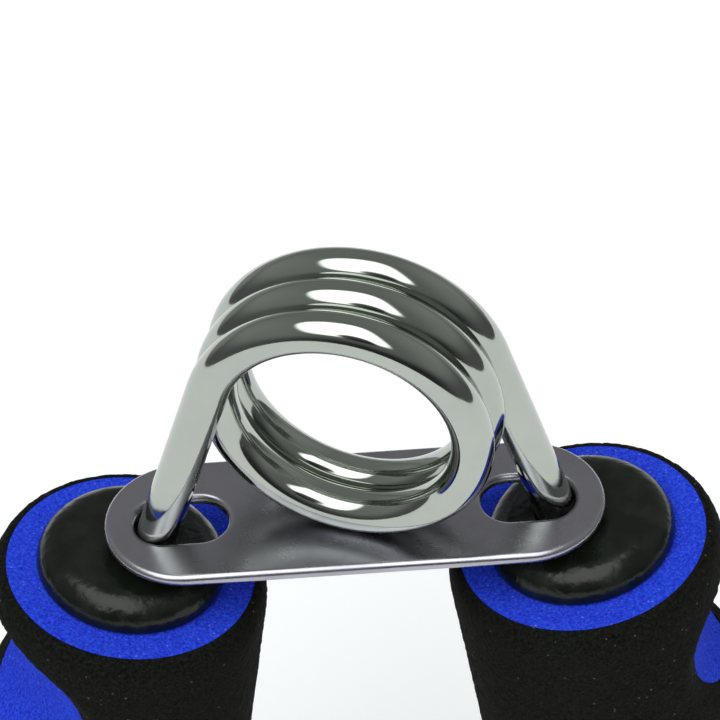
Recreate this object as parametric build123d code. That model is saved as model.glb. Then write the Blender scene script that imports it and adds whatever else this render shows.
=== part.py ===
from build123d import *
import math
import os

# Hand grip strengthener: a torsion spring bent from one wire, a slotted plate that holds its legs
# apart, and two handles of two-colour foam on plastic cores.
# Frame: +X from the left handle to the right one, +Z up, the handles' axes in the plane Y = 0.
# Z = 0 is where the bottom caps stand, and the plate and the coil are centred over the origin.
# Everything is drawn first with Z = 0 on the plate's top face, and lifted at the end.
# The object is the same after half a turn about Z, so each handle is drawn on the left side and
# the right one is that handle turned round.

# Spring wire (mm, degrees)
wire_diameter = 4.8
coil_mean_diameter = 30.0
coil_pitch = 5.08             # leaves the turns clear of each other as the legs close
coil_middle_turns = 2         # whole turns between the two legs, besides the arch from leg to leg
leg_lean = 16.5               # a leg's slope outwards from the vertical
bend_below_plate = 17.0       # depth at which a leg turns into line with its handle
bend_radius = 25.0
tail_length = 64.0            # wire inside the core beyond the bend

# Spreader plate
plate_end_margin = 3.37       # beyond a slot's outer end
plate_side_margin = 5.8       # beside a slot
plate_thickness = 1.5
plate_edge_round = 0.7
coil_clearance = 0.2          # under the coil, above the plate
slot_side_clearance = 1.0
slot_outer_clearance = 0.02   # the legs push against the slots' outer ends
slot_inner_clearance = 1.4    # left beside a leg at full squeeze

# Handles
handle_tilt = 7.8             # a handle's slope outwards
handle_top_below_plate = 7.1
handle_length = 95.0
squeeze_limit = 10.5          # how far each handle closes
inner_foam_radius = 14.3
outer_foam_thickness = 1.6
outer_foam_edge_round = 1.5

# Finger grooves, ground into the foam's outer side
groove_count = 4
groove_pitch = 22.0
groove_first = 14.0           # from the foam's top to the middle of the first groove
groove_depth = 5.3
groove_profile_radius = 12.8
groove_sweep_radius = 26.0    # the floor's curve round the handle
groove_turn = 13.6            # the grooves face this far round from straight outwards

# Core, a moulded tube with a boss round the wire
core_radius = 9.0
core_wall = 1.7
core_rib = 1.6
core_boss_wall = 2.0
core_well_depth = 13.0        # open mouth at the top, where the wire bends
core_socket_depth = 9.0       # open mouth at the bottom, for the bottom cap's spigot
wire_bore_clearance = 0.05
spigot_clearance = 0.05

# Caps
top_cap_radius = 10.8
top_cap_height = 4.2
top_cap_dome = 0.35
top_cap_upper_round = 3.2
top_cap_lower_round = 0.6
top_spigot_length = 7.0
top_spigot_wall = 1.3
wire_hole_clearance = 0.25
bottom_cap_overlap = 0.3      # over the black foam's end
bottom_cap_thickness = 4.0
bottom_cap_round = 2.4
bottom_spigot_length = 8.0
bottom_spigot_wall = 1.6
cap_key_width = 1.6           # moulded rib across the bottom cap's spigot

# Sizes that follow
wire_radius = wire_diameter / 2
coil_radius = coil_mean_diameter / 2
coil_centre_height = coil_radius + wire_radius + coil_clearance
outer_foam_radius = inner_foam_radius + outer_foam_thickness
bottom_cap_radius = inner_foam_radius + bottom_cap_overlap
socket_radius = core_radius - core_wall
spigot_radius = socket_radius - spigot_clearance
boss_radius = wire_radius + wire_bore_clearance + core_boss_wall
lean = math.radians(leg_lean)
tilt = math.radians(handle_tilt)
squeeze = math.radians(squeeze_limit)


def rise_per_radian():
    return coil_pitch / (2 * math.pi)


# The coil in its own frame: axis along Y, centre at the origin. It starts at the left, leg_lean above
# its middle, and winds over the top towards the right and back along +Y.
coil_angle = math.pi * (1 + 2 * coil_middle_turns) - 2 * lean
coil_depth = rise_per_radian() * coil_angle
coil_start = Vector(-coil_radius * math.cos(lean), -coil_depth / 2, coil_radius * math.sin(lean))
leg_direction = Vector(-coil_radius * math.sin(lean), -rise_per_radian(), -coil_radius * math.cos(lean))
leg_direction = leg_direction.normalized()
leg_length = (coil_start.Z + coil_centre_height + bend_below_plate) / -leg_direction.Z
leg_foot = coil_start + leg_direction * leg_length

# The coil is turned about Z until both legs reach the handles' plane where they bend.
coil_turn = -math.degrees(math.atan(leg_foot.Y / leg_foot.X))
coil_place = Pos(0, 0, coil_centre_height) * Rot(0, 0, coil_turn)


def placed(point):
    return (coil_place * Pos(point.X, point.Y, point.Z)).position


leg_top = placed(coil_start)
leg_bend = placed(leg_foot)


def turned_in(x, z, angle):
    """Where a point of the left leg, in the plane Y = 0, goes as the handle closes."""
    up = z - coil_centre_height
    return (
        x * math.cos(angle) - up * math.sin(angle),
        up * math.cos(angle) + x * math.sin(angle) + coil_centre_height,
    )


# The slots reach from the leg at rest to the leg at full squeeze. A leg stands a little to one side
# of its slot's middle, so it meets the slot's round end off centre.
world_lean = math.atan2(leg_top.X - leg_bend.X, leg_top.Z - leg_bend.Z)
rest_share = (-plate_thickness / 2 - leg_bend.Z) / (leg_top.Z - leg_bend.Z)
rest_foot = leg_bend + (leg_top - leg_bend) * rest_share
closed_x, closed_z = turned_in(leg_bend.X, leg_bend.Z, squeeze)
closed_lean = world_lean - squeeze
closed_top_x = closed_x - closed_z * math.tan(closed_lean)
slot_width = wire_diameter + 2 * slot_side_clearance
wire_reach = wire_radius / math.cos(world_lean)
end_gap = math.sqrt((slot_width / 2 - wire_reach) ** 2 - rest_foot.Y**2)
slot_outer_end = -rest_foot.X - end_gap + slot_width / 2 + slot_outer_clearance
slot_inner_end = -closed_top_x - wire_radius / math.cos(closed_lean) - slot_inner_clearance
slot_length = slot_outer_end - slot_inner_end
slot_centre = (slot_outer_end + slot_inner_end) / 2
plate_length = 2 * (slot_outer_end + plate_end_margin)
plate_width = slot_width + 2 * plate_side_margin

# The left handle's own frame: origin at the middle of the foam's top face, z up its axis, x inwards.
axis_up = Vector(math.sin(tilt), 0, math.cos(tilt))
handle_top = leg_bend + axis_up * ((bend_below_plate - handle_top_below_plate) / math.cos(tilt))
handle = Plane(origin=handle_top, x_dir=(math.cos(tilt), 0, -math.sin(tilt)), z_dir=axis_up)
bend_below_top = (handle_top - leg_bend).length

# The bottom cap's lowest point is on its rounded edge, on the inner side.
cap_end_depth = handle_length + bottom_cap_thickness
stand_height = (
    -handle_top.Z
    + (cap_end_depth - bottom_cap_round) * math.cos(tilt)
    + (bottom_cap_radius - bottom_cap_round) * math.sin(tilt)
    + bottom_cap_round
)


def upright(radius, length, top=0.0):
    """A cylinder along z whose upper face is at top."""
    return Pos(0, 0, top) * Cylinder(radius, length, align=(Align.CENTER, Align.CENTER, Align.MAX))


def tube(outer, inner, length, top=0.0):
    return upright(outer, length, top) - upright(inner, length, top)


def outer_edge(shape, radius, end):
    """The circle of that radius at the shape's top (end = -1) or bottom (end = 0)."""
    circles = [e for e in shape.edges().filter_by(GeomType.CIRCLE) if abs(e.radius - radius) < 1e-4]
    return ShapeList(circles).sort_by(Axis.Z)[end]


def spring_coil():
    path = Helix(coil_pitch, coil_depth, coil_radius)
    start = Plane(
        origin=(0, -coil_depth / 2, 0),
        x_dir=(-math.cos(lean), 0, math.sin(lean)),
        z_dir=(0, 1, 0),
    )
    path = start.location * path
    section = Plane(origin=path @ 0, z_dir=path % 0) * Circle(wire_radius)
    return coil_place * sweep(section, path=path, is_frenet=True)


def spring_leg():
    """From the coil's end, straight through the plate to the bend, and on down the core."""
    tail_end = leg_bend - axis_up * tail_length
    path = FilletPolyline(leg_top, leg_bend, tail_end, radius=bend_radius)
    section = Plane(origin=path @ 0, z_dir=path % 0) * Circle(wire_radius)
    leg = sweep(section, path=path)
    end_face = leg.faces().sort_by(Axis.Z)[0]
    return chamfer(end_face.edges(), wire_radius / 4)


def spreader_plate():
    blank = extrude(SlotOverall(plate_length, plate_width), amount=-plate_thickness)
    for side in (-1, 1):
        slot = Pos(side * slot_centre, 0) * SlotOverall(slot_length, slot_width)
        blank -= extrude(slot, amount=-plate_thickness)
    rims = blank.faces().filter_by(Axis.Z)
    return fillet(ShapeList(e for face in rims for e in face.edges()), plate_edge_round)


def groove_cutter():
    """Rings that grind the finger grooves, set outside the foam on the side that the grooves face."""
    floor = outer_foam_radius - groove_depth
    cutter = []
    for number in range(groove_count):
        depth = groove_first + number * groove_pitch
        ring = Torus(groove_sweep_radius + groove_profile_radius, groove_profile_radius)
        cutter.append(Rot(0, 0, 180 + groove_turn) * Pos(floor - groove_sweep_radius, 0, -depth) * ring)
    return cutter


def inner_foam():
    return tube(inner_foam_radius, core_radius, handle_length) - groove_cutter()


def outer_foam():
    sleeve = tube(outer_foam_radius, inner_foam_radius, handle_length)
    rims = [outer_edge(sleeve, outer_foam_radius, end) for end in (0, -1)]
    return fillet(rims, outer_foam_edge_round) - groove_cutter()


def core():
    body = tube(core_radius, socket_radius, handle_length)
    ribbed = handle_length - core_well_depth - core_socket_depth
    overlap = core_wall / 2
    for number in range(4):
        span = socket_radius + overlap
        rib = Pos(span / 2, 0, -core_well_depth - ribbed / 2) * Box(span, core_rib, ribbed)
        body += Rot(0, 0, 45 + 90 * number) * rib
    body += upright(boss_radius, ribbed, -core_well_depth)
    return body - upright(wire_radius + wire_bore_clearance, ribbed, -core_well_depth)


def top_cap():
    """A domed button over the foam's bore, with a spigot in the core and a slanting hole for the wire."""
    dome = (top_cap_radius**2 + top_cap_dome**2) / (2 * top_cap_dome)
    button = upright(top_cap_radius, top_cap_height, top_cap_height)
    button &= Pos(0, 0, top_cap_height - dome) * Sphere(dome)
    button = fillet(outer_edge(button, top_cap_radius, -1), top_cap_upper_round)
    button = fillet(outer_edge(button, top_cap_radius, 0), top_cap_lower_round)
    cap = button + tube(spigot_radius, spigot_radius - top_spigot_wall, top_spigot_length)
    top, bend = handle.to_local_coords(leg_top), handle.to_local_coords(leg_bend)
    wire_way = Plane(origin=bend, z_dir=top - bend)
    hole = Cylinder(
        wire_radius + wire_hole_clearance,
        (top - bend).length,
        align=(Align.CENTER, Align.CENTER, Align.MIN),
    )
    return cap - wire_way.location * hole


def bottom_cap():
    """A round end plate with a ribbed spigot pressed into the core."""
    plate = upright(bottom_cap_radius, bottom_cap_thickness, -handle_length)
    plate = fillet(outer_edge(plate, bottom_cap_radius, 0), bottom_cap_round)
    top = -handle_length + bottom_spigot_length
    cap = plate + tube(spigot_radius, spigot_radius - bottom_spigot_wall, bottom_spigot_length, top)
    key = Pos(0, 0, top - bottom_spigot_length / 2)
    key *= Box(2 * spigot_radius - bottom_spigot_wall, cap_key_width, bottom_spigot_length)
    return cap + key


lift = Pos(0, 0, stand_height)
on_handle = handle.location
nodes = {"spring_coil": spring_coil(), "spreader_plate": spreader_plate()}
for side, half_turn in (("left", 0), ("right", 180)):
    turn = Rot(0, 0, half_turn)
    nodes[side + "_spring_leg"] = turn * spring_leg()
    nodes[side + "_top_cap"] = turn * on_handle * top_cap()
    nodes[side + "_core"] = turn * on_handle * core()
    nodes[side + "_inner_foam"] = turn * on_handle * inner_foam()
    nodes[side + "_outer_foam"] = turn * on_handle * outer_foam()
    nodes[side + "_bottom_cap"] = turn * on_handle * bottom_cap()

os.makedirs("parts", exist_ok=True)
for name, shape in nodes.items():
    export_step(lift * shape, "parts/" + name + ".step")

print("coil turned", round(coil_turn, 2), "centre height", round(stand_height + coil_centre_height, 3))
print("plate top at", round(stand_height, 3), "slots", round(slot_inner_end, 2), round(slot_outer_end, 2))
print("handle top", [round(v, 3) for v in (handle_top.X, handle_top.Y, handle_top.Z + stand_height)])
print("leg top", [round(v, 3) for v in leg_top], "bend", [round(v, 3) for v in leg_bend])
print("bottom face", [round(v, 3) for v in (lift * Pos(*(handle_top - axis_up * cap_end_depth))).position])
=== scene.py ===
import bpy
import math
import numpy as np
from mathutils import Matrix, Vector, noise


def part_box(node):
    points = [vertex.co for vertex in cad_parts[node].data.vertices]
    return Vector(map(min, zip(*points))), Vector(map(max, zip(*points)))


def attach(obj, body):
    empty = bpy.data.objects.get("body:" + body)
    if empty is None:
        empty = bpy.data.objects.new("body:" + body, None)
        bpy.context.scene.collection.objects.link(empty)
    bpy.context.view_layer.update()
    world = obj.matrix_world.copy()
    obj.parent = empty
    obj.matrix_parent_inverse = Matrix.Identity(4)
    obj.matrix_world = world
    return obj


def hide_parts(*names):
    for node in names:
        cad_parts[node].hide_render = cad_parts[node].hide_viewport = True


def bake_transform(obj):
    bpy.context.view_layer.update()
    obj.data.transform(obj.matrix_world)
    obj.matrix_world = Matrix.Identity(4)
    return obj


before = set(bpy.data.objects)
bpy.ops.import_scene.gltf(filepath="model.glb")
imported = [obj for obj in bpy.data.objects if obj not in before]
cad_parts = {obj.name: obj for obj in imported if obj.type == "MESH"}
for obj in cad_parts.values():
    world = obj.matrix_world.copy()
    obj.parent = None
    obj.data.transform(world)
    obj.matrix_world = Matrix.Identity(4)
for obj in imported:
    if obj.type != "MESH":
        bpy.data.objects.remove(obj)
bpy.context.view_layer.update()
mm = 0.001
scene = bpy.context.scene
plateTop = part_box("spreader_plate")[1].z
print("frame loaded, plate top at", round(plateTop, 5))


def smoothStep(low, high, value):
    t = np.clip((value - low) / (high - low), 0, 1)
    return t * t * (3 - 2 * t)


def softMin(a, b, width):
    h = np.clip(0.5 + 0.5 * (b - a) / width, 0, 1)
    return b * (1 - h) + a * h - width * h * (1 - h)


def meshObject(name, points, faces, normals=None, flatFaces=0):
    mesh = bpy.data.meshes.new(name)
    mesh.from_pydata([tuple(p) for p in points], [], faces)
    smooth = [True] * (len(faces) - flatFaces) + [False] * flatFaces
    mesh.polygons.foreach_set("use_smooth", smooth)
    if normals is not None:
        loops = []
        for face in mesh.polygons:
            loops += [tuple(normals[v]) if face.use_smooth else tuple(face.normal) for v in face.vertices]
        mesh.normals_split_custom_set(loops)
    mesh.update()
    piece = bpy.data.objects.new(name, mesh)
    scene.collection.objects.link(piece)
    return piece


def addNode(tree, kind, place, inputs=None, **settings):
    node = tree.nodes.new("ShaderNode" + kind)
    node.location = place
    for key, value in settings.items():
        setattr(node, key, value)
    for key, value in (inputs or {}).items():
        if isinstance(value, bpy.types.NodeSocket):
            tree.links.new(value, node.inputs[key])
        else:
            node.inputs[key].default_value = value
    return node


def calc(tree, operation, a, b=0.0, c=0.0, place=(0, 0), clamp=False):
    node = addNode(tree, "Math", place, {0: a, 1: b, 2: c}, operation=operation, use_clamp=clamp)
    return node.outputs[0]


def ramp(tree, value, low, high, toLow=0.0, toHigh=1.0, place=(0, 0), kind="SMOOTHSTEP"):
    node = addNode(tree, "MapRange", place, {0: value, 1: low, 2: high, 3: toLow, 4: toHigh},
                   interpolation_type=kind)
    return node.outputs[0]


def mixColour(tree, factor, a, b, place=(0, 0), blend="MIX"):
    node = addNode(tree, "Mix", place, data_type="RGBA", blend_type=blend)
    for key, value in ((0, factor), (6, a), (7, b)):
        if isinstance(value, bpy.types.NodeSocket):
            tree.links.new(value, node.inputs[key])
        elif key == 0:
            node.inputs[key].default_value = value
        else:
            node.inputs[key].default_value = (*value, 1.0)
    return node.outputs[2]


def newGroup(name, takes, gives):
    group = bpy.data.node_groups.new(name, "ShaderNodeTree")
    for label, kind, default in takes:
        socket = group.interface.new_socket(name=label, in_out="INPUT", socket_type="NodeSocket" + kind)
        if default is not None:
            socket.default_value = default
    for label, kind in gives:
        group.interface.new_socket(name=label, in_out="OUTPUT", socket_type="NodeSocket" + kind)
    start = group.nodes.new("NodeGroupInput")
    end = group.nodes.new("NodeGroupOutput")
    start.location, end.location = (-900, 0), (700, 0)
    return group, start.outputs, end.inputs


def newMaterial(name, constants):
    material = bpy.data.materials.new(name)
    material.use_nodes = True
    tree = material.node_tree
    shader = tree.nodes["Principled BSDF"]
    for key, value in constants.items():
        socket = shader.inputs[key]
        socket.default_value = (*value, 1.0) if isinstance(value, tuple) else value
    coords = addNode(tree, "TexCoord", (-1500, 0))
    return material, tree, shader, coords.outputs["Object"]


def useGroup(tree, group, place, **inputs):
    node = addNode(tree, "Group", place, node_tree=group)
    for key, value in inputs.items():
        socket = node.inputs[key]
        if isinstance(value, bpy.types.NodeSocket):
            tree.links.new(value, socket)
        else:
            socket.default_value = value
    return node.outputs


def bump(tree, shader, height, distance, strength=1.0, place=(-300, -300)):
    node = addNode(tree, "Bump", place, {"Strength": strength, "Distance": distance, "Height": height})
    tree.links.new(node.outputs[0], shader.inputs["Normal"])


def foamGrainGroup():
    group, takes, gives = newGroup(
        "foamGrain",
        [("Vector", "Vector", None), ("Cell", "Float", 0.0003), ("Fleck Share", "Float", 0.02)],
        [("Height", "Float"), ("Grain", "Float"), ("Mottle", "Float"), ("Pale Flecks", "Float"),
         ("Pits", "Float")],
    )
    perMetre = calc(group, "DIVIDE", 1.0, takes["Cell"], place=(-700, 200))
    fine = addNode(group, "TexNoise", (-500, 200), {"Vector": takes["Vector"], "Scale": perMetre,
                                                     "Detail": 2.0, "Roughness": 0.6})
    cells = addNode(group, "TexVoronoi", (-500, -100), {"Vector": takes["Vector"], "Scale": perMetre,
                                                         "Randomness": 1.0})
    pits = ramp(group, cells.outputs["Distance"], 0.12, 0.5, 1.0, 0.0, place=(-300, -100))
    deepPits = calc(group, "MULTIPLY", pits,
                    ramp(group, fine.outputs[0], 0.42, 0.6, place=(-300, 100)), place=(-100, -100))
    height = calc(group, "SUBTRACT", fine.outputs[0], calc(group, "MULTIPLY", deepPits, 0.4),
                  place=(100, 200))
    broadScale = calc(group, "DIVIDE", perMetre, 30.0, place=(-500, 400))
    broad = addNode(group, "TexNoise", (-300, 400), {"Vector": takes["Vector"], "Scale": broadScale,
                                                      "Detail": 1.0, "Roughness": 0.5})
    fleckScale = calc(group, "DIVIDE", perMetre, 1.3, place=(-700, -400))
    flecks = addNode(group, "TexVoronoi", (-500, -400), {"Vector": takes["Vector"], "Scale": fleckScale})
    near = ramp(group, flecks.outputs["Distance"], 0.1, 0.42, 1.0, 0.0, place=(-300, -400))
    pick = addNode(group, "SeparateColor", (-300, -600), {0: flecks.outputs["Color"]})
    limit = calc(group, "SUBTRACT", 1.0, takes["Fleck Share"], place=(-300, -750))
    chosen = calc(group, "GREATER_THAN", pick.outputs[0], limit, place=(-100, -600))
    group.links.new(height, gives["Height"])
    group.links.new(ramp(group, fine.outputs[0], 0.3, 0.7, place=(0, 300), kind="LINEAR"), gives["Grain"])
    group.links.new(broad.outputs[0], gives["Mottle"])
    group.links.new(calc(group, "MULTIPLY", near, chosen, place=(100, -400)), gives["Pale Flecks"])
    group.links.new(deepPits, gives["Pits"])
    return group


def mouldGrainGroup():
    group, takes, gives = newGroup(
        "mouldGrain",
        [("Vector", "Vector", None), ("Pebble", "Float", 0.001), ("Wave", "Float", 0.004)],
        [("Height", "Float"), ("Tone", "Float")],
    )
    pebbleScale = calc(group, "DIVIDE", 1.0, takes["Pebble"], place=(-700, 200))
    waveScale = calc(group, "DIVIDE", 1.0, takes["Wave"], place=(-700, -200))
    pebble = addNode(group, "TexNoise", (-500, 200), {"Vector": takes["Vector"], "Scale": pebbleScale,
                                                       "Detail": 2.0, "Roughness": 0.55})
    cells = addNode(group, "TexVoronoi", (-500, 0), {"Vector": takes["Vector"], "Scale": pebbleScale},
                    feature="SMOOTH_F1")
    wave = addNode(group, "TexNoise", (-500, -300), {"Vector": takes["Vector"], "Scale": waveScale,
                                                      "Detail": 2.0, "Roughness": 0.5})
    small = calc(group, "MULTIPLY_ADD", cells.outputs["Distance"], 0.35,
                 calc(group, "MULTIPLY", pebble.outputs[0], 0.5), place=(-200, 100))
    group.links.new(calc(group, "MULTIPLY_ADD", wave.outputs[0], 1.6, small, place=(0, 0)), gives["Height"])
    group.links.new(wave.outputs[0], gives["Tone"])
    return group


def metalWearGroup():
    group, takes, gives = newGroup(
        "metalWear",
        [("Vector", "Vector", None), ("Cloud", "Float", 0.006), ("Grain", "Float", 0.0004)],
        [("Height", "Float"), ("Clouds", "Float"), ("Specks", "Float"), ("Scratches", "Float")],
    )
    cloudScale = calc(group, "DIVIDE", 1.0, takes["Cloud"], place=(-700, 300))
    grainScale = calc(group, "DIVIDE", 1.0, takes["Grain"], place=(-700, 0))
    clouds = addNode(group, "TexNoise", (-500, 300), {"Vector": takes["Vector"], "Scale": cloudScale,
                                                       "Detail": 4.0, "Roughness": 0.6})
    grain = addNode(group, "TexNoise", (-500, 0), {"Vector": takes["Vector"], "Scale": grainScale,
                                                    "Detail": 2.0, "Roughness": 0.6})
    spots = addNode(group, "TexVoronoi", (-500, -250), {"Vector": takes["Vector"],
                    "Scale": calc(group, "DIVIDE", grainScale, 2.2, place=(-700, -250))})
    spotPick = addNode(group, "SeparateColor", (-300, -350), {0: spots.outputs["Color"]})
    spot = ramp(group, spots.outputs["Distance"], 0.08, 0.2, 1.0, 0.0, place=(-300, -250))
    few = calc(group, "GREATER_THAN", spotPick.outputs[0], 0.93, place=(-100, -350))
    spotMask = calc(group, "MULTIPLY", spot, few, place=(50, -250))
    stretch = addNode(group, "Mapping", (-700, -550), {"Vector": takes["Vector"], "Scale": (1.0, 14.0, 1.0),
                                                        "Rotation": (0.0, 0.0, 0.35)})
    lines = addNode(group, "TexNoise", (-500, -550), {"Vector": stretch.outputs[0], "Scale": 260.0,
                                                       "Detail": 3.0, "Roughness": 0.7})
    group.links.new(grain.outputs[0], gives["Height"])
    group.links.new(clouds.outputs[0], gives["Clouds"])
    group.links.new(spotMask, gives["Specks"])
    group.links.new(ramp(group, lines.outputs[0], 0.6, 0.72, place=(-200, -550)), gives["Scratches"])
    return group


foamGrain = foamGrainGroup()
mouldGrain = mouldGrainGroup()
metalWear = metalWearGroup()


chromeLook = {"colour": (0.475, 0.505, 0.46), "warm": (0.385, 0.412, 0.375), "roughness": 0.06,
              "roughnessSpread": 0.05, "wave": 0.007, "waveHeight": 0.00001}


def chromeMaterial():
    material, tree, shader, coords = newMaterial("chromedWire", {"Metallic": 1.0})
    wear = useGroup(tree, metalWear, (-1000, 0), Vector=coords, Cloud=chromeLook["wave"], Grain=0.0005)
    colour = mixColour(tree, wear["Clouds"], chromeLook["colour"], chromeLook["warm"], place=(-600, 200))
    tree.links.new(colour, shader.inputs["Base Color"])
    rough = ramp(tree, wear["Clouds"], 0.3, 0.8, chromeLook["roughness"],
                 chromeLook["roughness"] + chromeLook["roughnessSpread"], place=(-600, 0))
    rough = calc(tree, "MULTIPLY_ADD", wear["Specks"], 0.12, rough, place=(-400, 0))
    tree.links.new(rough, shader.inputs["Roughness"])
    bump(tree, shader, wear["Clouds"], chromeLook["waveHeight"], 0.5)
    return material


plateLook = {"colour": (0.43, 0.42, 0.475), "dark": (0.375, 0.365, 0.415), "pale": (0.55, 0.545, 0.6),
             "roughness": 0.28, "grainHeight": 0.000006}


def plateMaterial():
    material, tree, shader, coords = newMaterial("satinSteel", {"Metallic": 1.0})
    wear = useGroup(tree, metalWear, (-1000, 0), Vector=coords, Cloud=0.006, Grain=0.00035)
    colour = mixColour(tree, ramp(tree, wear["Clouds"], 0.35, 0.7, place=(-800, 300)),
                       plateLook["colour"], plateLook["dark"], place=(-600, 300))
    worn = calc(tree, "MULTIPLY", wear["Specks"], 0.3, place=(-600, 120), clamp=True)
    colour = mixColour(tree, worn, colour, plateLook["pale"], place=(-400, 300))
    tree.links.new(colour, shader.inputs["Base Color"])
    rough = ramp(tree, wear["Clouds"], 0.25, 0.8, plateLook["roughness"] - 0.03,
                 plateLook["roughness"] + 0.04, place=(-600, 0))
    rough = calc(tree, "MULTIPLY_ADD", wear["Scratches"], -0.02, rough, place=(-400, 0))
    tree.links.new(rough, shader.inputs["Roughness"])
    relief = calc(tree, "MULTIPLY_ADD", wear["Scratches"], -0.1, wear["Height"], place=(-600, -300))
    bump(tree, shader, relief, plateLook["grainHeight"], 0.8)
    return material


capLook = {"colour": (0.0058, 0.0082, 0.0052), "pale": (0.0105, 0.0135, 0.0092), "roughness": 0.2,
           "pebble": 0.0009, "wave": 0.0027, "relief": 0.00014}


def capMaterial(name, look):
    material, tree, shader, coords = newMaterial(name, {"IOR": 1.45, "Specular IOR Level": 0.36})
    grain = useGroup(tree, mouldGrain, (-1000, 0), Vector=coords, Pebble=look["pebble"], Wave=look["wave"])
    colour = mixColour(tree, ramp(tree, grain["Tone"], 0.35, 0.7, place=(-800, 200)),
                       look["colour"], look["pale"], place=(-600, 200))
    tree.links.new(colour, shader.inputs["Base Color"])
    rough = ramp(tree, grain["Tone"], 0.3, 0.75, look["roughness"] - 0.04, look["roughness"] + 0.12,
                 place=(-600, 0))
    tree.links.new(rough, shader.inputs["Roughness"])
    bump(tree, shader, grain["Height"], look["relief"], 0.7)
    return material


coreLook = {"colour": (0.012, 0.012, 0.013), "pale": (0.02, 0.02, 0.021), "roughness": 0.5,
            "pebble": 0.0006, "wave": 0.01, "relief": 0.00004}

# pitShade is painted shade for the foam's pores, which are recesses in the bump
blackFoamLook = {"colour": (0.001, 0.0012, 0.0008), "pale": (0.0165, 0.0178, 0.0142),
                 "pitShade": (0.0006, 0.0006, 0.0005), "fleck": (0.09, 0.095, 0.075), "cell": 0.00036,
                 "fleckShare": 0.025, "relief": 0.00022, "drift": 0.12}
blueFoamLook = {"colour": (0.0075, 0.022, 0.52), "pale": (0.042, 0.105, 0.98),
                "pitShade": (0.005, 0.012, 0.36), "fleck": (0.14, 0.22, 0.92), "cell": 0.00034,
                "fleckShare": 0.05, "relief": 0.00016, "drift": 0.12}


def foamMaterial(name, look):
    material, tree, shader, coords = newMaterial(name, {"IOR": 1.4, "Specular IOR Level": 0.12})
    grain = useGroup(tree, foamGrain, (-1100, 0), Vector=coords, Cell=look["cell"])
    drift = calc(tree, "SUBTRACT", grain["Mottle"], 0.5, place=(-1000, 400))
    share = calc(tree, "MULTIPLY_ADD", drift, look["drift"], grain["Grain"], place=(-900, 300), clamp=True)
    colour = mixColour(tree, share, look["colour"], look["pale"], place=(-700, 300))
    # painted shade: the pores, which the bump also sinks, are darkened toward the pitShade colour
    pitShading = calc(tree, "MULTIPLY", grain["Pits"], 0.8, place=(-600, 150))
    colour = mixColour(tree, pitShading, colour, look["pitShade"], place=(-500, 300))
    colour = mixColour(tree, grain["Pale Flecks"], colour, look["fleck"], place=(-300, 300))
    tree.links.new(colour, shader.inputs["Base Color"])
    rough = ramp(tree, grain["Height"], 0.2, 0.8, 0.82, 0.97, place=(-500, 0))
    tree.links.new(rough, shader.inputs["Roughness"])
    bump(tree, shader, grain["Height"], look["relief"], 0.9)
    for node in tree.nodes:
        if node.type == "GROUP":
            node.inputs["Fleck Share"].default_value = look["fleckShare"]
    return material


chrome = chromeMaterial()
satinSteel = plateMaterial()
capPlastic = capMaterial("capPlastic", capLook)
corePlastic = capMaterial("corePlastic", coreLook)
blackFoam = foamMaterial("blackFoam", blackFoamLook)
blueFoam = foamMaterial("blueFoam", blueFoamLook)
for name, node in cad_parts.items():
    finish = satinSteel if "plate" in name else chrome if "spring" in name else capPlastic
    finish = corePlastic if "core" in name else finish
    finish = blackFoam if "outer_foam" in name else blueFoam if "inner_foam" in name else finish
    node.data.materials.clear()
    node.data.materials.append(finish)
print("materials ready")


spring = {"wire": 4.8 * mm, "coilDiameter": 30 * mm, "pitch": 5.08 * mm, "middleTurns": 2, "lean": 16.5,
          "coilClearance": 0.2 * mm, "bendBelowPlate": 17 * mm, "bendRadius": 25 * mm, "tail": 64 * mm,
          "tilt": 7.8, "sides": 64, "step": 1.5}
lean, tilt = math.radians(spring["lean"]), math.radians(spring["tilt"])
wireRadius, coilRadius = spring["wire"] / 2, spring["coilDiameter"] / 2
coilHeight = coilRadius + wireRadius + spring["coilClearance"]
coilCentre = np.array([0, 0, plateTop + coilHeight])
rise = spring["pitch"] / (2 * math.pi)
sweepAngle = math.pi * (1 + 2 * spring["middleTurns"]) - 2 * lean


def helixPoint(phi):
    along = rise * (phi - lean - sweepAngle / 2)
    return np.array([-coilRadius * math.cos(phi), along, coilRadius * math.sin(phi)])


legSlope = np.array([-coilRadius * math.sin(lean), -rise, -coilRadius * math.cos(lean)])
legSlope /= np.linalg.norm(legSlope)
legLength = (helixPoint(lean)[2] + coilHeight + spring["bendBelowPlate"]) / -legSlope[2]
legFoot = helixPoint(lean) + legSlope * legLength
coilTurn = -math.atan(legFoot[1] / legFoot[0])
turned = np.array(Matrix.Rotation(coilTurn, 3, "Z"))
legBend = turned @ legFoot + coilCentre
axisUp = np.array([math.sin(tilt), 0, math.cos(tilt)])


def coilRings(start, end):
    rings = []
    for phi in np.linspace(start, end, int(math.degrees(end - start) / spring["step"]) + 1):
        along = np.array([coilRadius * math.sin(phi), rise, coilRadius * math.cos(phi)])
        out = np.array([-math.cos(phi), 0, math.sin(phi)])
        rings.append((turned @ helixPoint(phi) + coilCentre, turned @ (along / np.linalg.norm(along)),
                      turned @ out))
    return rings


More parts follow.
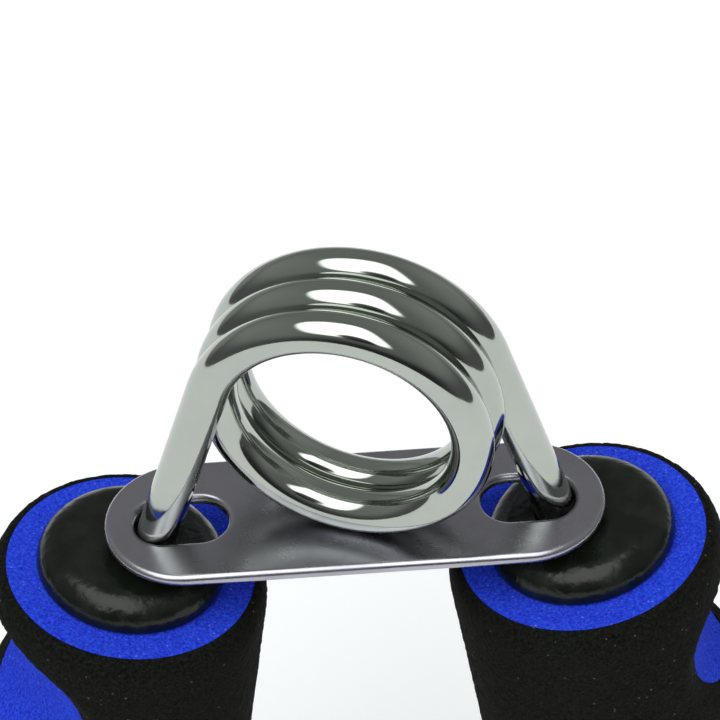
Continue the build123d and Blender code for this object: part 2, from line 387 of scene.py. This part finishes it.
def legRings():
    down = turned @ legSlope
    tailWay = -axisUp
    bendAngle = math.acos(np.clip(down @ tailWay, -1, 1))
    reach = spring["bendRadius"] * math.tan(bendAngle / 2)
    top = turned @ helixPoint(lean) + coilCentre
    arcStart = legBend + (top - legBend) / np.linalg.norm(top - legBend) * reach
    towards = tailWay - down * (down @ tailWay)
    towards /= np.linalg.norm(towards)
    points = [(top + (arcStart - top) * k / 24, down) for k in range(1, 25)]
    for k in range(1, 13):
        a = bendAngle * k / 12
        points.append((arcStart + spring["bendRadius"] * (math.sin(a) * down + (1 - math.cos(a)) * towards),
                       math.cos(a) * down + math.sin(a) * towards))
    arcEnd, tailEnd = points[-1][0], legBend + tailWay * spring["tail"]
    points += [(arcEnd + (tailEnd - arcEnd) * k / 16, tailWay) for k in range(1, 17)]
    side = turned @ np.array([-math.cos(lean), 0, math.sin(lean)])
    rings = []
    for place, along in points:
        side = side - along * (side @ along)
        side /= np.linalg.norm(side)
        rings.append((place, -along, side))  # tangents kept in the sense that leads up into the coil
    return rings[::-1]


def tube(name, rings, chamfer=0.0):
    sides = spring["sides"]
    points, normals, faces = [], [], []
    angles = np.linspace(0, 2 * math.pi, sides, endpoint=False)
    for place, along, side in rings:
        across = np.cross(along, side)
        out = np.cos(angles)[:, None] * side + np.sin(angles)[:, None] * across
        points.append(place + out * wireRadius)
        normals.append(out)
    if chamfer:
        place, along, side = rings[0]
        out = normals[0]
        points.insert(0, place + out * (wireRadius - chamfer))
        points[1] = points[1] + along * chamfer
        normals.insert(0, (out - along) / math.sqrt(2))
    rows = len(points)
    points, normals = np.concatenate(points), np.concatenate(normals)
    for row in range(rows - 1):
        for k in range(sides):
            a, b = row * sides + k, row * sides + (k + 1) % sides
            faces.append((a, b, b + sides, a + sides))
    faces.append(tuple(range(sides))[::-1])
    faces.append(tuple(range((rows - 1) * sides, rows * sides)))
    piece = meshObject(name, points, faces, normals, 2)
    piece.data.materials.append(chrome)
    return piece


halfTurn = np.array(Matrix.Rotation(math.pi, 3, "Z"))
leftRings = legRings() + coilRings(lean, math.pi)
rightRings = [(halfTurn @ p, halfTurn @ t, halfTurn @ s) for p, t, s in leftRings]
for side, rings, sign in (("left", leftRings, 1), ("right", rightRings, -1)):
    leg = tube(side + "SpringLeg", rings, wireRadius / 4)
    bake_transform(leg)
    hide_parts(side + "_spring_leg")
middle = tube("springCoil", coilRings(math.pi, 4 * math.pi))
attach(middle, "spring_head")
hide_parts("spring_coil")
print("spring made, coil turned", round(math.degrees(coilTurn), 3))


foam = {"length": 95.0, "topBelowPlate": 7.1, "bore": 9.0, "inner": 14.3, "outer": 15.9, "edgeIn": 1.5,
        "edgeDown": 3.6, "around": 280, "along": 230, "rough": 0.13, "coarse": 0.05, "soften": 0.5}
groove = {"count": 4, "pitch": 22.0, "first": 14.0, "floor": 10.6, "profile": 12.8, "sweep": 26.0,
          "turn": 13.6}
handleTop = legBend + axisUp * ((spring["bendBelowPlate"] - foam["topBelowPlate"] * mm) / math.cos(tilt))


def grooveRadius(theta, z, depths):
    delta = theta - math.radians(180 + groove["turn"])
    offset = groove["floor"] - groove["sweep"]
    found = np.full(np.broadcast(theta, z).shape, 99.0)
    for depth in depths:
        h = np.clip(z + depth, -groove["profile"], groove["profile"])
        ring = groove["sweep"] + groove["profile"] - np.sqrt(groove["profile"] ** 2 - h * h)
        r = offset * np.cos(delta) + np.sqrt(ring**2 - (offset * np.sin(delta)) ** 2)
        found = np.minimum(found, r)
    return found


def roughness(points, size, seed):
    shift = Vector((seed * 7.13, seed * 3.7, seed * 11.9))
    return np.array([noise.noise(Vector(p) / size + shift) for p in points])


def cylinderPoints(theta, radius, z):
    return np.stack([radius * np.cos(theta), radius * np.sin(theta), z], -1)


def roughen(theta, radius, z, seed):
    flat = cylinderPoints(theta, radius, z).reshape(-1, 3)
    change = foam["rough"] * roughness(flat, 0.55, seed) + foam["coarse"] * roughness(flat, 3.0, seed + 5)
    return radius + change.reshape(radius.shape)


def handlePlace(side):
    place = Matrix((
        (math.cos(tilt) * mm, 0, math.sin(tilt) * mm, handleTop[0]),
        (0, mm, 0, handleTop[1]),
        (-math.sin(tilt) * mm, 0, math.cos(tilt) * mm, handleTop[2]),
        (0, 0, 0, 1),
    ))
    return place if side == "left" else Matrix.Rotation(math.pi, 4, "Z") @ place


def outerSleeve(side, depths, seed):
    around, edge, drop, length = foam["around"], foam["edgeIn"], foam["edgeDown"], foam["length"]
    rows = [(foam["inner"], 0.0), (foam["outer"] - edge, 0.0)]
    for k in range(1, 11):
        a = math.pi / 2 * k / 10
        rows.append((foam["outer"] - edge * (1 - math.sin(a)), -drop * (1 - math.cos(a))))
    first = len(rows) - 1
    straight = (length - 2 * drop) / foam["along"]
    rows += [(foam["outer"], -drop - straight * k) for k in range(1, foam["along"])]
    last = len(rows)
    rows += [(r, -length - z) for r, z in rows[first::-1]]
    profile, z = np.array(rows).T
    theta, z = np.meshgrid(np.arange(around) * 2 * math.pi / around, z, indexing="ij")
    theta, z = theta.copy(), z.copy()
    cut = grooveRadius(theta, z, depths)
    surface = softMin(np.broadcast_to(profile, z.shape).copy(), cut, foam["soften"])
    surface[:, :first] = profile[:first]
    surface[:, last + 1:] = profile[last + 1:]
    level = surface - foam["inner"]
    level[:, :first + 3] = 1.0
    level[:, last - 2:] = 1.0
    # the window's rim is found by moving the nearest grid point onto it
    crossings = []
    for i in range(around):
        n = (i + 1) % around
        for j in np.nonzero(level[i, :-1] * level[i, 1:] < 0)[0]:
            t = level[i, j] / (level[i, j] - level[i, j + 1])
            crossings.append((min(t, 1 - t), (i, j), (i, j + 1), t))
        for j in np.nonzero(level[i] * level[n] < 0)[0]:
            t = level[i, j] / (level[i, j] - level[n, j])
            crossings.append((min(t, 1 - t), (i, j), (n, j), t))
    crossings.sort(key=lambda c: c[0])
    spot = {}
    for _, a, b, t in crossings:
        if a in spot or b in spot:
            continue
        moved = a if t < 0.5 else b
        step = theta[b] - theta[a]
        step = step + 2 * math.pi if step < -math.pi else step
        spot[moved] = (theta[a] + step * t, z[a] + (z[b] - z[a]) * t)
    for at, (newTheta, newZ) in spot.items():
        theta[at], z[at], level[at] = newTheta, newZ, 0.0
        surface[at] = foam["inner"]
    sign = np.sign(level).astype(int)
    rough = roughen(theta, surface, z, seed)
    mask = np.zeros(z.shape)
    mask[:, 2:-2] = 1.0
    points = cylinderPoints(theta, surface + (rough - surface) * mask, z)
    outId = np.full(z.shape, -1)
    inId = np.full(z.shape, -1)
    kept = sign >= 0
    outId[kept] = np.arange(kept.sum())
    vertices = [points[kept]]
    innerRows = np.zeros(z.shape, bool)
    innerRows[:, first + 1:last] = True
    doubled = (sign > 0) & innerRows
    inId[doubled] = kept.sum() + np.arange(doubled.sum())
    vertices.append(cylinderPoints(theta, np.full(z.shape, foam["inner"] - 0.02), z)[doubled])
    inId[sign == 0] = outId[sign == 0]
    inId[:, 0], inId[:, -1] = outId[:, 0], outId[:, -1]
    faces = []
    rowCount = z.shape[1]

    def addCell(ids, cornerSign, flip):
        if min(cornerSign) < 0:
            if max(cornerSign) <= 0:
                return
            k = cornerSign.index(max(cornerSign))
            corners = [ids[(k - 1) % 4], ids[k], ids[(k + 1) % 4]]
        elif max(cornerSign) <= 0:
            return
        else:
            corners = ids
        faces.append(tuple(corners[::-1] if flip else corners))

    for i in range(around):
        n = (i + 1) % around
        for j in range(rowCount - 1):
            ids = [outId[i, j], outId[i, j + 1], outId[n, j + 1], outId[n, j]]
            signs = [sign[i, j], sign[i, j + 1], sign[n, j + 1], sign[n, j]]
            addCell(ids, signs, False)
            if first + 1 <= j < last - 1:
                ids = [inId[i, j], inId[i, j + 1], inId[n, j + 1], inId[n, j]]
                addCell(ids, signs, True)
        faces.append((inId[n, 0], inId[n, first + 1], inId[i, first + 1], inId[i, 0]))
        faces.append((inId[n, last - 1], inId[n, -1], inId[i, -1], inId[i, last - 1]))
    faces = [tuple(int(v) for v in face) for face in faces]
    piece = meshObject(side + "OuterFoam", np.concatenate(vertices), faces)
    piece.data.transform(handlePlace(side))
    piece.data.materials.append(blackFoam)
    return piece


def innerSleeve(side, depths, seed):
    around, length, small = foam["around"], foam["length"], 0.2
    ring = [(foam["bore"] + (foam["inner"] - small - foam["bore"]) * k / 11, 0.0) for k in range(12)]
    ring += [(foam["inner"] - 0.06, -0.06), (foam["inner"], -small)]
    straight = (length - 2 * small) / foam["along"]
    down = [(foam["inner"], -small - straight * k) for k in range(1, foam["along"])]
    rows = ring + down + [(r, -length - z) for r, z in ring[::-1]]
    profile, depth = np.array(rows).T
    theta, z = np.meshgrid(np.arange(around) * 2 * math.pi / around, depth, indexing="ij")
    cut = softMin(np.full(z.shape, foam["outer"]), grooveRadius(theta, z, depths), foam["soften"])
    surface = np.minimum(profile[None, :], np.where(profile[None, :] > 14.0, cut, 99.0))
    rough = roughen(theta, surface, z, seed)
    bare = smoothStep(foam["inner"] + 0.05, foam["inner"] - 0.3, cut)
    surface = surface + (rough - surface) * bare
    points = cylinderPoints(theta, surface, z)
    flat = (np.abs(z) < 1e-6) | (np.abs(z + length) < 1e-6)
    lift = foam["rough"] * 0.6 * roughness(points.reshape(-1, 3), 0.8, seed + 9).reshape(z.shape)
    points[..., 2] += np.where(flat & (profile[None, :] > foam["bore"] + 0.1), lift, 0.0)
    count = z.shape[1]
    faces = []
    for i in range(around):
        n = (i + 1) % around
        for j in range(count):
            k = (j + 1) % count
            faces.append((i * count + j, i * count + k, n * count + k, n * count + j))
    piece = meshObject(side + "InnerFoam", points.reshape(-1, 3), faces)
    piece.data.transform(handlePlace(side))
    piece.data.materials.append(blueFoam)
    return piece


depths = [groove["first"] + groove["pitch"] * k for k in range(groove["count"])]
for side in ("left", "right"):
    outer = outerSleeve(side, depths, 1 if side == "left" else 2)
    inner = innerSleeve(side, depths, 1 if side == "left" else 2)
    for piece, node, slotName in ((outer, "_outer_foam", "black_foam"), (inner, "_inner_foam", "blue_foam")):
        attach(piece, side + "_handle")
        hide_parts(side + node)
        print(piece.name, len(piece.data.polygons), "faces")


studio = {"ceiling": 0.25, "ceilingTint": (0.95, 1.0, 0.97), "dark": 0.035, "horizon": 0.36, "sides": 0.09,
          "boxStrength": 3.0, "boxAside": -9.0, "boxElevation": 66.0, "boxHalfWidth": 25.0,
          "boxHalfHeight": 33.0, "standAside": -9.0, "standElevation": 35.0, "standHalf": 10.0,
          "floor": (1.7, 2.0), "floorCentre": (0.0, 0.25)}


def makeFloor():
    w, d = studio["floor"]
    x, y = studio["floorCentre"]
    corners = [(x + w / 2 * i, y + d / 2 * j, 0) for i, j in ((-1, -1), (1, -1), (1, 1), (-1, 1))]
    floor = meshObject("floor", corners, [(0, 1, 2, 3)])
    material = newMaterial("paleFloor", {
        "Base Color": (0.9, 0.91, 0.92), "Roughness": 0.7, "Specular IOR Level": 0.1,
        "Emission Color": (0.97, 0.99, 1.0), "Emission Strength": 0.27})[0]
    floor.data.materials.append(material)


def makeWorld():
    world = bpy.data.worlds.new("studio")
    scene.world = world
    world.use_nodes = True
    tree = world.node_tree
    back = tree.nodes["Background"]
    coords = addNode(tree, "TexCoord", (-1600, 0))
    way = coords.outputs["Generated"]
    split = addNode(tree, "SeparateXYZ", (-1400, 0), {0: way})
    up, depth = split.outputs[2], split.outputs[1]
    low = ramp(tree, up, 0.02, 0.42, 1.0, 0.0, place=(-1200, 200))
    behind = ramp(tree, depth, 0.05, 0.65, place=(-1200, 0))
    ceiling = ramp(tree, depth, -0.6, 0.7, studio["ceiling"] * 0.75, studio["ceiling"], place=(-1200, -200))
    level = calc(tree, "MULTIPLY", ceiling, calc(tree, "SUBTRACT", 1.0, low), place=(-900, 0))
    level = calc(tree, "MULTIPLY_ADD", low, studio["dark"], level, place=(-750, 0))
    aside = calc(tree, "ABSOLUTE", split.outputs[0], place=(-1300, 300))
    aside = ramp(tree, aside, 0.25, 0.85, place=(-1200, 400))
    level = calc(tree, "MULTIPLY_ADD", aside, studio["sides"], level, place=(-680, 0))
    nearFloor = ramp(tree, up, 0.05, 0.55, 1.0, 0.0, place=(-1200, -400))
    lowBehind = calc(tree, "MULTIPLY", behind, nearFloor, place=(-900, -300))
    glow = calc(tree, "MULTIPLY", lowBehind, studio["horizon"], place=(-750, -300))
    level = calc(tree, "MAXIMUM", level, glow, place=(-600, 0))
    a, e = math.radians(studio["boxAside"]), math.radians(studio["boxElevation"])
    centre = Vector((math.sin(a), -math.cos(a) * math.cos(e), math.cos(a) * math.sin(e)))
    upward = Vector((0, math.sin(e), math.cos(e)))
    right = upward.cross(centre)
    parts = []
    for axis in (centre, right, upward):
        dot = addNode(tree, "VectorMath", (-1400, -700), {0: way, 1: axis}, operation="DOT_PRODUCT")
        parts.append(dot.outputs["Value"])
    ahead = calc(tree, "MAXIMUM", parts[0], 0.001, place=(-1200, -700))
    reach = None
    for part, half in ((parts[1], studio["boxHalfWidth"]), (parts[2], studio["boxHalfHeight"])):
        size = calc(tree, "DIVIDE", part, ahead, place=(-1100, -700))
        size = calc(tree, "DIVIDE", size, math.tan(math.radians(half)), place=(-1000, -700))
        term = calc(tree, "POWER", calc(tree, "ABSOLUTE", size), 4.0, place=(-800, -700))
        reach = term if reach is None else calc(tree, "ADD", reach, term, place=(-600, -700))
    box = ramp(tree, reach, 0.55, 1.9, studio["boxStrength"], 0.0, place=(-400, -700))
    level = calc(tree, "MAXIMUM", level, box, place=(-300, 0))
    # the dark shape of a stand in front of the soft box's lower edge
    a, e = math.radians(studio["standAside"]), math.radians(studio["standElevation"])
    front = Vector((math.sin(a) * math.cos(e), -math.cos(a) * math.cos(e), math.sin(e)))
    facing = addNode(tree, "VectorMath", (-600, -900), {0: way, 1: front}, operation="DOT_PRODUCT")
    half = math.radians(studio["standHalf"])
    stand = ramp(tree, facing.outputs["Value"], math.cos(half * 1.25), math.cos(half * 0.75), 1.0, 0.03,
                 place=(-400, -900))
    level = calc(tree, "MULTIPLY", level, stand, place=(-230, -100))
    tint = mixColour(tree, 0.5, (1.0, 1.0, 1.0), studio["ceilingTint"], place=(-300, 300))
    scaled = addNode(tree, "VectorMath", (-150, 100), {0: tint, "Scale": level}, operation="SCALE")
    seen = addNode(tree, "LightPath", (-300, 500))
    shown = mixColour(tree, seen.outputs["Is Camera Ray"], scaled.outputs[0], (1.0, 1.0, 1.0), place=(0, 200))
    tree.links.new(shown, back.inputs[0])
    back.inputs[1].default_value = 1.0


camera = {"place": (-9.5, -391.89, 408.85), "yaw": 1.59, "pitch": -44.51, "roll": -2.64, "lens": 250}


def makeCamera():
    data = bpy.data.cameras.new("camera")
    view = bpy.data.objects.new("camera", data)
    scene.collection.objects.link(view)
    yaw, pitch, roll = (math.radians(camera[k]) for k in ("yaw", "pitch", "roll"))
    ahead = Vector((math.sin(yaw) * math.cos(pitch), math.cos(yaw) * math.cos(pitch), math.sin(pitch)))
    right = ahead.cross(Vector((0, 0, 1))).normalized()
    up = right.cross(ahead)
    across = right * math.cos(roll) + up * math.sin(roll)
    above = up * math.cos(roll) - right * math.sin(roll)
    turn = Matrix((across, above, -ahead)).transposed().to_4x4()
    x, y, z = camera["place"]
    view.matrix_world = Matrix.Translation((x * mm, y * mm, z * mm + plateTop)) @ turn
    data.lens, data.sensor_width = camera["lens"], 36
    data.clip_start, data.clip_end = 0.01, 20
    scene.camera = view


makeFloor()
makeWorld()
makeCamera()
scene.view_settings.view_transform = "Standard"
scene.view_settings.look = "None"
scene.view_settings.exposure = 0.0
scene.cycles.use_denoising = True
print("stage ready")
